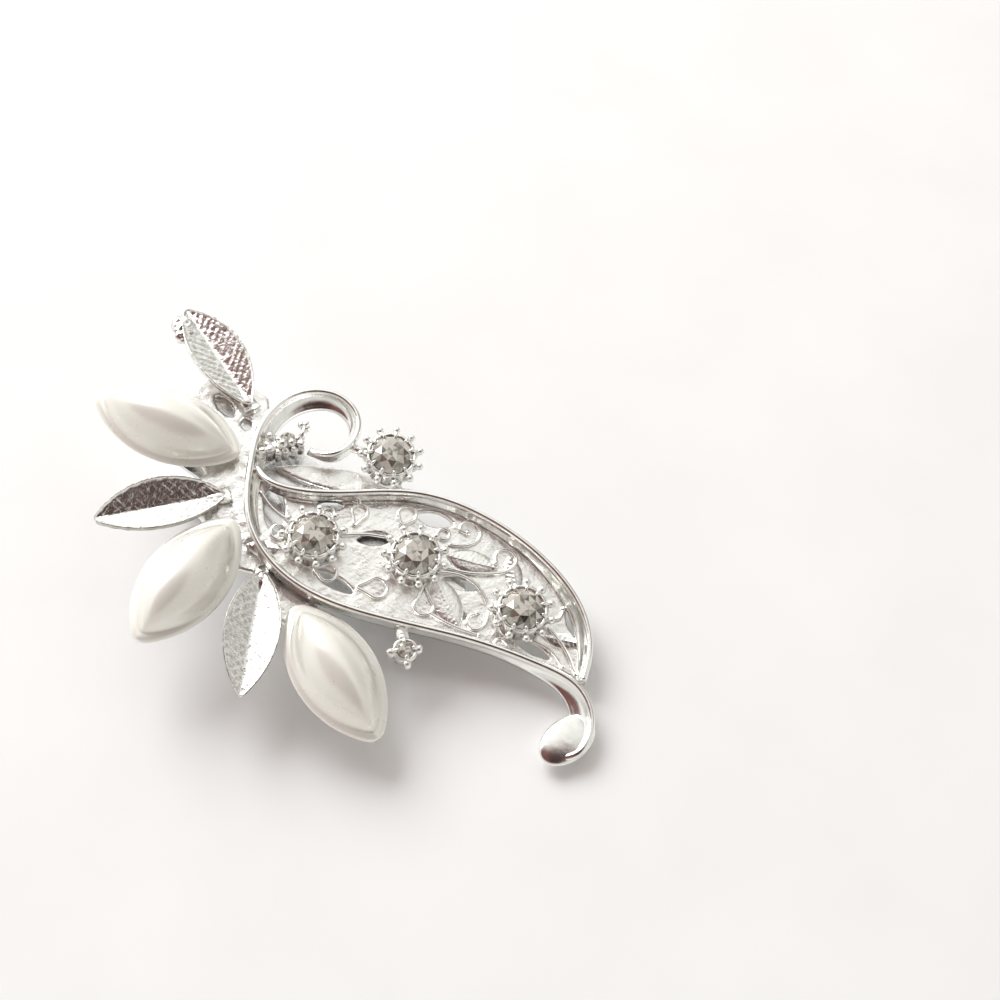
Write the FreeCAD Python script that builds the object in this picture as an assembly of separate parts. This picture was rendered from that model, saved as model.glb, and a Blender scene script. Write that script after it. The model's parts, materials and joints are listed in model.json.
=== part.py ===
import FreeCAD, Part
import math
import os

# Hair clip: a cast, silver-plated flower and paisley ornament with pearls and rhinestones,
# brazed on a sprung steel alligator clip.  All sizes are millimetres and degrees.
#
# Everything is drawn flat first.  In the drawing frame X runs from the hinge towards the
# clip's nose, Y runs along the hinge pin, and Z = 0 is the underside of the casting.
# The finished shapes are pitched nose down, as the clip lies on a table, and moved so
# that the origin is under the middle of the part, on the table.

V = FreeCAD.Vector
UP = V(0, 0, 1)

# Pose on the table
PITCH = 12.0                    # nose-down angle of the ornament as it rests

# Casting
PLATE = 0.6                     # thickness of the openwork plate and of the leaves
WEB = 0.7                       # thickness of the web under the petals' roots
RIM_HEIGHT = 1.5                # height of the raised bands above the plate

# Raised band that forms the curl, the lower edge of the paisley and the tail.
# Its line is its ridge; the band reaches further to one side of the ridge than the other.
SWIRL = [                       # x, y, reach to the left, reach to the right
    (4.6, 4.8, 0.5, 0.3), (6.7, 5.5, 0.6, 0.3), (7.4, 7.6, 0.7, 0.3), (6.4, 10.0, 0.9, 0.3),
    (3.9, 10.9, 1.2, 0.3), (1.2, 9.6, 1.4, 0.3), (-0.2, 6.9, 1.4, 0.3), (-0.1, 3.6, 1.3, 0.3),
    (1.4, 0.2, 1.2, 0.3), (5.0, -4.7, 1.1, 0.3), (10.6, -6.9, 1.0, 0.3), (18.9, -5.3, 0.9, 0.3),
    (27.6, -1.7, 0.7, 0.4), (34.0, 0.1, 0.5, 0.9), (37.6, 0.3, 0.4, 1.4),
    (40.0, -1.3, 0.4, 1.7), (40.8, -3.6, 0.4, 1.9),
]
SWIRL_PLATE_START = 8           # first and last band points that the plate's edge follows
SWIRL_PLATE_END = 13

# Raised band along the upper edge of the paisley
UPPER_RIM = [                   # x, y, reach to the left, reach to the right
    (3.5, -0.2, 0.2, 0.5), (6.4, 0.5, 0.3, 0.6), (10.8, 3.7, 0.3, 0.7), (15.2, 7.1, 0.3, 0.8),
    (21.8, 9.1, 0.3, 0.9), (28.8, 8.8, 0.3, 1.0), (34.4, 6.4, 0.3, 1.1), (36.8, 3.4, 0.3, 1.0),
    (37.6, 1.2, 0.3, 0.8),
]

# Bead that ends the tail
BEAD = (39.7, -4.3)             # its centre
BEAD_LENGTH = 4.6
BEAD_WIDTH = 3.4
BEAD_HEIGHT = 2.4
BEAD_ANGLE = -112.0

# Pearls and the flat trays that they are glued on
PEARL_LENGTH = 14.2
PEARL_WIDTH = 7.6
PEARL_TIP = 1.4                 # radius of the blunt tips
PEARL_HEIGHT = 3.5
PEARL_START = 0.33              # from a petal's root to its pearl
TRAY_HEIGHT = 0.6
TRAY_INSET = 0.3                # how far a tray's edge stays inside its pearl's
PEARLS = {                      # root x, root y, direction in degrees
    "upper": (0.2, 0.6, 194.0),
    "middle": (3.6, -4.8, -88.0),
    "lower": (12.6, -8.4, -23.0),
}

# Leaves, each a sheet folded along its midrib
LEAF_LENGTH = 11.8
LEAF_WIDTH = 4.9
LEAF_TIP = 0.45                 # radius of the blunt tips
LEAF_FOLD = 24.0                # slope of each half of a leaf
LEAF_FOOT = 1.5                 # radius of the flat foot that joins a leaf to the web
LEAF_FOOT_IN = 1.35             # from a leaf's root to the middle of its foot
LEAVES = {
    "upper": (-2.7, 5.5, 158.5),
    "middle": (1.3, -3.4, -129.5),
    "lower": (8.6, -7.4, -62.0),
}

# Rhinestones and their crown settings
STONE_DIAMETER = 4.0
STONE_CROWN = 0.8               # height from the girdle to the table
STONE_GIRDLE = 0.2              # height of the girdle's band
STONE_PAVILION = 1.3            # depth from the girdle to the point
STONE_TABLE = 0.56              # table width as a share of any stone's diameter
STONE_SIDES = 12
STONE_FIT = 0.02                # clearance between a stone's girdle and its cup
CUP_WALL = 0.3
CUP_FLOOR = 0.35
PRONGS = 11
PRONG_OUT = 0.48                # from the cup's outside to the centre of a prong's ball
PRONG_BALL = 0.34               # radius of the ball
PRONG_SHANK = 0.2               # radius of the shank
STONES = {                      # x, y of the three stones that stand on the openwork plate
    "left": (10.4, -2.4),
    "middle": (18.8, 1.7),
    "right": (29.5, 3.3),
}
OUTER_STONE = (11.2, 8.6)
OUTER_NECKS = [(7.2, 7.4), (14.0, 6.3)]     # where the outer setting's necks meet the bands
NECK_WIDTH = 1.1
NECK_HEIGHT = 0.9

# Bud settings: small cups with four prongs and a tiny stone
BUD_STONE = 1.6
BUD_PRONG_OUT = 0.13
BUD_PRONGS = 4
BUD_CROWN = 0.4
BUD_GIRDLE = 0.08
BUD_PAVILION = 0.7
BUD_FLOOR = 0.3
BUDS = {                        # x, y of the cup, then x, y where its neck meets the band
    "lower": (23.2, -6.1, 21.6, -4.3),
    "upper": (2.6, 4.2, 0.5, 3.2),
}

# Openwork plate: see-through holes and the wire scrolls on it
WINDOWS = [                     # x, y, length, width, direction of pointed windows
    (5.6, -2.2, 5.4, 1.9, -52.0), (14.2, -4.8, 4.0, 1.2, 6.0), (14.6, 0.9, 3.2, 1.3, 40.0),
    (17.8, 6.0, 3.6, 1.5, 22.0), (23.4, 2.2, 3.4, 1.2, 20.0), (24.3, -0.9, 3.2, 1.2, 24.0),
    (32.2, 0.9, 3.6, 0.9, 6.0), (33.9, 5.3, 3.2, 1.1, -40.0), (9.4, 1.2, 2.6, 1.0, 36.0),
]
WINDOW_TIP = 0.15               # radius of a window's tips
RINGS = [                       # x, y, outer radius of the wire rings
    (12.5, 2.5, 0.9), (15.8, 4.8, 1.0), (13.6, -3.9, 1.0), (17.8, -2.5, 1.2),
    (22.0, -1.1, 1.1), (21.4, 6.9, 1.05), (25.6, 6.8, 1.15), (26.4, 0.5, 1.05),
    (7.4, -3.5, 0.8), (26.0, 4.4, 0.75),
]
SCROLL_WIRE = 0.4               # width of the scroll wire
SCROLL_HEIGHT = 0.5
STEMS = [                       # three points on each curved stem
    ((13.4, -1.6), (14.6, 0.2), (15.8, 1.4)), ((21.4, 3.0), (23.4, 4.0), (24.9, 5.8)),
    ((20.8, 3.7), (21.3, 4.7), (21.4, 5.8)), ((21.9, 1.4), (24.6, 1.9), (26.2, 1.7)),
    ((5.2, -0.6), (6.4, -1.3), (7.7, -1.6)), ((32.0, 2.4), (33.8, 2.2), (35.4, 1.5)),
    ((32.2, 3.4), (34.2, 3.2), (35.5, 2.4)),
]

# Filler leaf between the curl and the upper band, and the web under the petals' roots
FILLER = ((2.6, 1.3), (9.0, 5.8), (14.4, 7.0), (8.2, 2.6))
WEB_EDGE = [
    (-6.8, 6.9), (-7.9, 4.6), (-7.8, 2.4), (-5.2, 0.9), (-4.6, -2.2), (-1.6, -3.0), (-2.4, -6.4),
    (1.2, -7.0), (2.2, -9.6), (5.4, -9.4), (8.2, -8.2), (10.2, -11.0), (12.6, -10.6),
    (15.6, -10.4), (15.2, -7.6), (10.6, -5.9), (5.4, -4.2), (2.4, -0.4), (1.2, 3.6), (-2.0, 7.0),
]
WEB_HOLES = [                   # x, y, length, width, direction of its pointed holes
    (-4.6, 3.7, 2.8, 1.3, -14.0), (-1.9, 3.4, 1.5, 1.0, -40.0),
]

# Steel clip
CLIP_Y = 0.5                    # side shift of the clip's middle under the casting
BLADE_NOSE = 24.5               # from the hinge pin to the nose
BLADE_TAIL = 8.0                # from the hinge pin to the end of the thumb tabs
BLADE_WIDTH = 8.0
BLADE = 0.7                     # thickness of the upper blade
JAW = 0.6                       # thickness of the lower jaw's sheet
EAR = 0.6                       # thickness of the hinge ears
EAR_RADIUS = 1.7                # round end of an ear about the pin
FLANGE_STEP = 1.0               # length of the jaw wall's slope in front of the ear
EAR_GAP = 0.12                  # side clearance between the upper and lower ears
PIN_DROP = 2.0                  # from the blade's underside down to the pin's axis
PIN_RADIUS = 0.6
PIN_FIT = 0.05                  # radial clearance of the pin in the lower jaw
PIN_HEAD_RIM = 0.45             # how far the rivet's heads reach past its shank
PIN_HEAD_HEIGHT = 0.35
JAW_FLOOR_REAR = 4.4            # from the blade's underside to the jaw floor at the hinge
JAW_FLOOR_NOSE = 1.1            # the same at the nose
TOOTH_GAP = 0.15                # space over the teeth when the jaw is closed
TOOTH_PITCH = 1.5
TOOTH_HEIGHT = 0.8
TOOTH_START = 5.0               # from the pin to the first tooth
TAB_CORNER = 1.6                # corner radius of both thumb tabs
TAB_BEND = 2.0                  # from the pin back to the bend of the lower tab

# Torsion spring on the pin
SPRING_WIRE = 0.28              # radius of the wire
SPRING_FIT = 0.22               # radial clearance between the pin and the coil
SPRING_TURNS = 4
SPRING_PITCH = 0.62
SPRING_LEG = 4.6                # from the pin back to the end of each leg
SPRING_TOUCH = 0.02             # space between a leg's end and the tab that it presses

# Brazing pads between the blade and the casting
PAD_WIDTH = 3.4
PAD_LENGTH = 5.0
PAD_X = 21.5

PLATE_TOP = PLATE
BLADE_TOP = -WEB
BLADE_BOTTOM = BLADE_TOP - BLADE
PIN_Z = BLADE_BOTTOM - PIN_DROP
EAR_OUTSIDE = BLADE_WIDTH / 2
LOWER_EAR_OUTSIDE = EAR_OUTSIDE - EAR - EAR_GAP
BEAD_MIDDLE = PLATE_TOP + RIM_HEIGHT - BEAD_HEIGHT / 2
BEAD_BOTTOM = BEAD_MIDDLE - BEAD_HEIGHT / 2

# The lower tab's end and the tail's bead stand on the table together
TAB_END_Z = BEAD_BOTTOM - (BEAD[0] + BLADE_TAIL) * math.tan(math.radians(PITCH))


def point(x, y, z=0.0):
    return V(x, y, z)


def polar(origin, angle, distance):
    """The point at a distance and a direction, in degrees, from an origin."""
    turn = math.radians(angle)
    return (origin[0] + distance * math.cos(turn), origin[1] + distance * math.sin(turn))


def spline(points):
    """A smooth edge through points."""
    curve = Part.BSplineCurve()
    curve.interpolate(points)
    return curve.toShape()


def plate(edges, bottom, height):
    """A flat piece from the closed outline that the edges make."""
    wire = Part.Wire(Part.__sortEdges__(edges))
    face = Part.Face(wire)
    face.translate(V(0, 0, bottom))
    return face.extrude(V(0, 0, height))


def polygon(points, bottom, height):
    corners = [point(*p) for p in points]
    wire = Part.makePolygon(corners + corners[:1])
    face = Part.Face(wire)
    face.translate(V(0, 0, bottom))
    return face.extrude(V(0, 0, height))


def band_sides(stations):
    """Left and right edge points of a band that follows a ridge line."""
    ridge = Part.BSplineCurve()
    ridge.interpolate([point(x, y) for x, y, _, _ in stations])
    left = []
    right = []
    for x, y, left_reach, right_reach in stations:
        along = ridge.tangent(ridge.parameter(point(x, y)))[0]
        across = V(-along.y, along.x, 0)
        left.append(point(x, y) + across * left_reach)
        right.append(point(x, y) - across * right_reach)
    return left, right


def band(stations, bottom, height):
    """A raised band that follows its stations, with square edges."""
    left, right = band_sides(stations)
    edges = [
        spline(left),
        Part.makeLine(left[-1], right[-1]),
        spline(right),
        Part.makeLine(right[0], left[0]),
    ]
    return plate(edges, bottom, height)


def almond_side(length, width, tip):
    """The +Y half of a pointed oval with blunt tips, from the origin along +X: three arcs."""
    tip_x = length / 2 - tip
    side_radius = (tip_x ** 2 + width ** 2 / 4 - tip ** 2) / (width - 2 * tip)
    rise = side_radius - width / 2
    reach = side_radius / math.hypot(tip_x, rise)
    join_x = tip_x * reach
    join_y = rise * reach - rise
    turn = math.atan2(join_y, join_x - tip_x) / 2
    bulge_x = tip_x + tip * math.cos(turn)
    bulge_y = tip * math.sin(turn)
    middle = length / 2
    arcs = [
        Part.Arc(point(0, 0), point(middle - bulge_x, bulge_y), point(middle - join_x, join_y)),
        Part.Arc(point(middle - join_x, join_y), point(middle, width / 2),
                 point(middle + join_x, join_y)),
        Part.Arc(point(middle + join_x, join_y), point(middle + bulge_x, bulge_y),
                 point(length, 0)),
    ]
    return [arc.toShape() for arc in arcs]


def almond(length, width, tip, bottom, height):
    """A flat pointed oval with blunt tips, from the origin along +X."""
    side = almond_side(length, width, tip)
    other = [edge.mirror(point(0, 0), V(0, 1, 0)) for edge in side]
    return plate(side + other, bottom, height)


def put(shape, x, y, angle=0.0, z=0.0):
    """A copy of a shape that was drawn at the origin, turned and moved into place."""
    placed = shape.copy()
    placed.rotate(V(0, 0, 0), UP, angle)
    placed.translate(V(x, y, z))
    return placed


def bar(start, end, width, bottom, height):
    """A straight flat bar between two points."""
    length = math.dist(start, end)
    angle = math.degrees(math.atan2(end[1] - start[1], end[0] - start[0]))
    box = Part.makeBox(length, width, height, V(0, -width / 2, bottom))
    return put(box, start[0], start[1], angle)


def fuse_all(shapes):
    whole = shapes[0]
    if len(shapes) > 1:
        whole = whole.multiFuse(shapes[1:])
    return whole.removeSplitter()


def ridge_points(stations, first, last):
    return [point(x, y) for x, y, _, _ in stations[first:last + 1]]


# ---- casting -----------------------------------------------------------------------

def pointed_holes(holes, bottom, height):
    """Cutters for a row of pointed holes through a sheet, longer than it is thick."""
    cuts = []
    for x, y, length, width, angle in holes:
        start = polar((x, y), angle, -length / 2)
        cutter = almond(length, width, WINDOW_TIP, bottom - height, 3 * height)
        cuts.append(put(cutter, *start, angle))
    return cuts


def openwork_plate():
    """The paisley's floor, with its windows cut out."""
    lower = ridge_points(SWIRL, SWIRL_PLATE_START, SWIRL_PLATE_END)
    upper = ridge_points(UPPER_RIM, 0, len(UPPER_RIM) - 1)
    edges = [
        spline(lower),
        Part.makeLine(lower[-1], upper[-1]),
        spline(upper),
        Part.makeLine(upper[0], lower[0]),
    ]
    panel = plate(edges, 0, PLATE)
    return panel.cut(pointed_holes(WINDOWS, 0, PLATE))


def tail_bead():
    """Smooth drop at the end of the tail."""
    ball = Part.makeSphere(1.0)
    stretch = FreeCAD.Matrix()
    stretch.scale(V(BEAD_LENGTH / 2, BEAD_WIDTH / 2, BEAD_HEIGHT / 2))
    drop = ball.transformGeometry(stretch)
    return put(drop, BEAD[0], BEAD[1], BEAD_ANGLE, BEAD_MIDDLE)


def swirl_band():
    """Curl, lower edge and tail in one band, with the bead on its end."""
    return band(SWIRL, PLATE_TOP, RIM_HEIGHT).fuse(tail_bead())


def cup_places():
    """Round places on the plate where the stones' cups stand, which the scrolls keep off."""
    radius = STONE_DIAMETER / 2 + STONE_FIT + CUP_WALL
    places = []
    for x, y in STONES.values():
        places.append(Part.makeCylinder(radius, SCROLL_HEIGHT, V(x, y, PLATE_TOP)))
    return places


def scroll_rings():
    cups = cup_places()
    rings = []
    for x, y, radius in RINGS:
        outside = Part.makeCylinder(radius, SCROLL_HEIGHT, V(x, y, PLATE_TOP))
        inside = Part.makeCylinder(radius - SCROLL_WIRE, SCROLL_HEIGHT, V(x, y, PLATE_TOP))
        rings.append(outside.cut([inside] + cups))
    return Part.makeCompound(rings)


def scroll_stems():
    cups = cup_places()
    stems = []
    for stations in STEMS:
        stem = [(x, y, SCROLL_WIRE / 2, SCROLL_WIRE / 2) for x, y in stations]
        stems.append(band(stem, PLATE_TOP, SCROLL_HEIGHT).cut(cups))
    return Part.makeCompound(stems)


def filler_leaf():
    """Flat pointed leaf under the plate's edge, beside the curl."""
    root, upper, tip, lower = [point(x, y) for x, y in FILLER]
    edges = [spline([root, upper, tip]), spline([tip, lower, root])]
    return plate(edges, -WEB, WEB)


def root_web(keep_clear):
    """Web that joins the petals' roots to the plate from below."""
    web = polygon(WEB_EDGE, -WEB, WEB)
    return web.cut([keep_clear] + pointed_holes(WEB_HOLES, -WEB, WEB))


# ---- petals ------------------------------------------------------------------------

def tray():
    """Flat pointed tray under a pearl."""
    outline = almond(PEARL_LENGTH - 2 * TRAY_INSET, PEARL_WIDTH - 2 * TRAY_INSET,
                     PEARL_TIP - TRAY_INSET, 0, TRAY_HEIGHT)
    outline.translate(V(PEARL_START + TRAY_INSET, 0, 0))
    return outline


def pearl():
    """Pointed oval cabochon with a flat back."""
    root = point(0, 0)
    tip = point(PEARL_LENGTH, 0)
    side = almond_side(PEARL_LENGTH, PEARL_WIDTH, PEARL_TIP)
    half = Part.Face(Part.Wire(side + [Part.makeLine(tip, root)]))
    lemon = half.revolve(root, V(1, 0, 0), 180)
    if lemon.BoundBox.ZMax < PEARL_WIDTH / 4:
        lemon = lemon.mirror(root, UP)
    flatten = FreeCAD.Matrix()
    flatten.scale(V(1, 1, 2 * PEARL_HEIGHT / PEARL_WIDTH))
    cabochon = lemon.transformGeometry(flatten)
    cabochon.translate(V(PEARL_START, 0, TRAY_HEIGHT))
    return cabochon


def leaf():
    """Sheet folded along its midrib, with a flat foot at its root."""
    outline = almond(LEAF_LENGTH, LEAF_WIDTH, LEAF_TIP, 0, LEAF_WIDTH + PLATE)
    half = LEAF_WIDTH
    rise = half * math.tan(math.radians(LEAF_FOLD))
    section = [
        V(0, 0, 0), V(0, half, rise), V(0, half, rise + PLATE),
        V(0, 0, PLATE), V(0, -half, rise + PLATE), V(0, -half, rise),
    ]
    fold = Part.Face(Part.makePolygon(section + section[:1])).extrude(V(LEAF_LENGTH, 0, 0))
    blade = outline.common(fold)
    foot = Part.makeCylinder(LEAF_FOOT, PLATE, V(LEAF_FOOT_IN, 0, 0))
    return blade.fuse(foot).removeSplitter()


# ---- stones ------------------------------------------------------------------------

def ring_of_points(count, radius, height, turn=0.0):
    step = 2 * math.pi / count
    return [
        V(radius * math.cos(step * (i + turn)), radius * math.sin(step * (i + turn)), height)
        for i in range(count)
    ]


def faceted_stone(diameter, crown, girdle, pavilion):
    """Brilliant with a flat table; its girdle's lower edge is at Z = 0."""
    table = ring_of_points(STONE_SIDES, STONE_TABLE * diameter / 2, girdle + crown)
    upper = ring_of_points(STONE_SIDES, diameter / 2, girdle, 0.5)
    lower = ring_of_points(STONE_SIDES, diameter / 2, 0, 0.5)
    tip = V(0, 0, -pavilion)
    loops = [table]
    for i in range(STONE_SIDES):
        j = (i + 1) % STONE_SIDES
        loops.append([table[i], upper[i], table[j]])
        loops.append([upper[i], upper[j], table[j]])
        loops.append([upper[i], lower[i], lower[j], upper[j]])
        loops.append([lower[i], tip, lower[j]])
    faces = [Part.Face(Part.makePolygon(loop + loop[:1])) for loop in loops]
    return Part.Solid(Part.Shell(faces))


def crown_setting(diameter, girdle, pavilion, floor, prong_out, prongs):
    """Cup for one stone with ball-ended prongs around it; stands on Z = 0."""
    inner = diameter / 2 + STONE_FIT
    reach = inner + CUP_WALL + prong_out
    seat = floor + pavilion
    top = seat + girdle
    profile = [
        V(0, 0, 0), V(inner + CUP_WALL, 0, 0), V(inner + CUP_WALL, 0, top), V(inner, 0, top),
        V(inner, 0, seat), V(0, 0, floor),
    ]
    cup = Part.Face(Part.makePolygon(profile + profile[:1])).revolve(V(0, 0, 0), UP, 360)
    pieces = [cup]
    for i in range(prongs):
        angle = 360.0 * (i + 0.5) / prongs
        level = top - PRONG_BALL
        shank = Part.makeCylinder(
            PRONG_SHANK, reach - inner - CUP_WALL / 2, V(inner + CUP_WALL / 2, 0, level), V(1, 0, 0))
        ball = Part.makeSphere(PRONG_BALL, V(reach, 0, level))
        prong = shank.fuse(ball)
        prong.rotate(V(0, 0, 0), UP, angle)
        pieces.append(prong)
    return fuse_all(pieces)


def stone_setting():
    return crown_setting(STONE_DIAMETER, STONE_GIRDLE, STONE_PAVILION, CUP_FLOOR, PRONG_OUT, PRONGS)


def bud_setting():
    return crown_setting(BUD_STONE, BUD_GIRDLE, BUD_PAVILION, BUD_FLOOR, BUD_PRONG_OUT, BUD_PRONGS)


def outer_setting():
    """Setting outside the bands, held by two necks."""
    pieces = [put(stone_setting(), *OUTER_STONE, 0, PLATE_TOP)]
    clear = STONE_DIAMETER / 2 + STONE_FIT
    for end in OUTER_NECKS:
        angle = math.degrees(math.atan2(end[1] - OUTER_STONE[1], end[0] - OUTER_STONE[0]))
        start = polar(OUTER_STONE, angle, clear + CUP_WALL / 2)
        pieces.append(bar(start, end, NECK_WIDTH, PLATE_TOP, NECK_HEIGHT))
    return fuse_all(pieces)


def bud(x, y, neck_x, neck_y):
    """Bud setting with the neck that joins it to the band."""
    cup = put(bud_setting(), x, y, 0, PLATE_TOP)
    angle = math.degrees(math.atan2(neck_y - y, neck_x - x))
    start = polar((x, y), angle, BUD_STONE / 2 + STONE_FIT + CUP_WALL / 2)
    neck = bar(start, (neck_x, neck_y), NECK_WIDTH, PLATE_TOP, NECK_HEIGHT / 2)
    return fuse_all([cup, neck])


# ---- steel clip --------------------------------------------------------------------

def side_plate(corners, y, thickness):
    """A piece cut from a side view, between y and y + thickness."""
    loop = [V(x, y, z) for x, z in corners]
    return Part.Face(Part.makePolygon(loop + loop[:1])).extrude(V(0, thickness, 0))


def cross_cylinder(radius, y, length):
    """A cylinder on the pin's axis."""
    return Part.makeCylinder(radius, length, V(0, y, PIN_Z), V(0, 1, 0))


def ear(y, root_z):
    """Hinge ear: a round end about the pin on a straight root."""
    disc = cross_cylinder(EAR_RADIUS, y, EAR)
    low = min(root_z, PIN_Z)
    high = max(root_z, PIN_Z)
    root = Part.makeBox(2 * EAR_RADIUS, EAR, high - low, V(-EAR_RADIUS, y, low))
    return disc.fuse(root)


def blade_plan(nose, tail, width, bottom, height):
    """Plan of a blade with a round nose and a tail with round corners."""
    half = width / 2
    side = half - TAB_CORNER
    back = TAB_CORNER - tail
    bulge = TAB_CORNER * math.sqrt(0.5)
    edges = [
        Part.makeLine(point(back, -half), point(nose - half, -half)),
        Part.Arc(point(nose - half, -half), point(nose, 0), point(nose - half, half)).toShape(),
        Part.makeLine(point(nose - half, half), point(back, half)),
        Part.Arc(point(back, half), point(back - bulge, side + bulge),
                 point(-tail, side)).toShape(),
        Part.makeLine(point(-tail, side), point(-tail, -side)),
        Part.Arc(point(-tail, -side), point(back - bulge, -side - bulge),
                 point(back, -half)).toShape(),
    ]
    return plate(edges, bottom, height)


def upper_blade():
    """Flat blade with two ears folded down over the hinge."""
    sheet = blade_plan(BLADE_NOSE, BLADE_TAIL, BLADE_WIDTH, BLADE_BOTTOM, BLADE)
    left = ear(EAR_OUTSIDE - EAR, BLADE_BOTTOM)
    right = ear(-EAR_OUTSIDE, BLADE_BOTTOM)
    whole = fuse_all([sheet, left, right])
    return whole.cut(cross_cylinder(PIN_RADIUS, -BLADE_WIDTH, 2 * BLADE_WIDTH))


def jaw_floor_line(x):
    """Height of the jaw floor's top at a distance from the pin."""
    share = x / BLADE_NOSE
    drop = JAW_FLOOR_REAR + (JAW_FLOOR_NOSE - JAW_FLOOR_REAR) * share
    return BLADE_BOTTOM - drop


def tab_slope():
    """Rise of the lower tab per length, from its end to its bend."""
    rise = jaw_floor_line(-TAB_BEND) - JAW - TAB_END_Z
    return rise / (BLADE_TAIL - TAB_BEND)


def tab_top_line(x):
    """Height of the lower tab's top at a distance from the pin."""
    return TAB_END_Z + JAW + (x + BLADE_TAIL) * tab_slope()


def tab_cosine():
    return math.cos(math.atan(tab_slope()))


def jaw_flange(y):
    """Side wall of the jaw with its teeth."""
    tip = BLADE_BOTTOM - TOOTH_GAP
    end = BLADE_NOSE - BLADE_WIDTH / 2
    count = int((end - TOOTH_START) / TOOTH_PITCH)
    low = -EAR_RADIUS
    corners = [(low, jaw_floor_line(low) - JAW), (end, jaw_floor_line(end) - JAW)]
    for i in range(count):
        x = end - i * TOOTH_PITCH
        corners.append((x, tip))
        corners.append((x - TOOTH_PITCH, tip - TOOTH_HEIGHT))
    corners.append((EAR_RADIUS + FLANGE_STEP, jaw_floor_line(EAR_RADIUS) + JAW))
    corners.append((low, jaw_floor_line(low) + JAW))
    return side_plate(corners, y, EAR)


def lower_jaw():
    """Toothed jaw and bent thumb tab, from one sheet, with two ears."""
    nose = BLADE_NOSE
    bend = -TAB_BEND
    side_view = [
        (nose, jaw_floor_line(nose) - JAW), (nose, jaw_floor_line(nose)),
        (bend, jaw_floor_line(bend)), (-BLADE_TAIL, TAB_END_Z + JAW), (-BLADE_TAIL, TAB_END_Z),
        (bend, jaw_floor_line(bend) - JAW),
    ]
    sheet = side_plate(side_view, -BLADE_WIDTH, 2 * BLADE_WIDTH)
    depth = BLADE_BOTTOM - TAB_END_Z
    jaw_plan = blade_plan(BLADE_NOSE, 0, 2 * LOWER_EAR_OUTSIDE, TAB_END_Z, depth)
    neck_plan = Part.makeBox(TAB_BEND + TAB_CORNER, 2 * LOWER_EAR_OUTSIDE, depth,
                             V(-TAB_BEND, -LOWER_EAR_OUTSIDE, TAB_END_Z))
    tab_plan = blade_plan(0, BLADE_TAIL, BLADE_WIDTH, TAB_END_Z, depth)
    tab_end = Part.makeBox(BLADE_TAIL, BLADE_WIDTH, depth,
                           V(-BLADE_TAIL - TAB_BEND, -BLADE_WIDTH / 2, TAB_END_Z))
    plan = fuse_all([jaw_plan, neck_plan, tab_plan.common(tab_end)])
    pieces = [sheet.common(plan)]
    for y in (LOWER_EAR_OUTSIDE - EAR, -LOWER_EAR_OUTSIDE):
        pieces.append(jaw_flange(y))
        pieces.append(ear(y, jaw_floor_line(0) - JAW / 2))
    whole = fuse_all(pieces)
    return whole.cut(cross_cylinder(PIN_RADIUS + PIN_FIT, -BLADE_WIDTH, 2 * BLADE_WIDTH))


def hinge_pin():
    """Rivet through the ears with a head on each side."""
    shank = cross_cylinder(PIN_RADIUS, -EAR_OUTSIDE, 2 * EAR_OUTSIDE)
    head = PIN_RADIUS + PIN_HEAD_RIM
    heads = [
        cross_cylinder(head, EAR_OUTSIDE, PIN_HEAD_HEIGHT),
        cross_cylinder(head, -EAR_OUTSIDE - PIN_HEAD_HEIGHT, PIN_HEAD_HEIGHT),
    ]
    return fuse_all([shank] + heads)


def torsion_spring():
    """Coil round the pin with one leg on each thumb tab."""
    radius = PIN_RADIUS + SPRING_FIT + SPRING_WIRE
    length = SPRING_TURNS * SPRING_PITCH
    helix = Part.makeHelix(SPRING_PITCH, length, radius)
    section = Part.Wire(Part.makeCircle(SPRING_WIRE, V(radius, 0, 0), V(0, 1, 0)))
    coil = Part.Wire(helix.Edges).makePipeShell([section], True, True)
    coil.rotate(V(0, 0, 0), V(1, 0, 0), -90)
    coil.translate(V(0, -length / 2, PIN_Z))
    legs = []
    blade_end = BLADE_BOTTOM - SPRING_WIRE - SPRING_TOUCH
    tab_end = tab_top_line(-SPRING_LEG) + (SPRING_WIRE + SPRING_TOUCH) / tab_cosine()
    for y, start_z, end_z in ((-length / 2, radius, blade_end), (length / 2, -radius, tab_end)):
        start = V(0, y, PIN_Z + start_z)
        end = V(-SPRING_LEG, y, end_z)
        run = end - start
        leg = Part.makeCylinder(SPRING_WIRE, run.Length, start, run)
        legs.append(leg.fuse(Part.makeSphere(SPRING_WIRE, end)))
    return coil.multiFuse(legs)


def brazing_pad():
    """Pad that fills the space between the blade and the openwork plate."""
    return Part.makeBox(
        PAD_LENGTH, PAD_WIDTH, WEB, V(PAD_X - PAD_LENGTH / 2, -PAD_WIDTH / 2, BLADE_TOP))


# ---- assembly ----------------------------------------------------------------------

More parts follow.
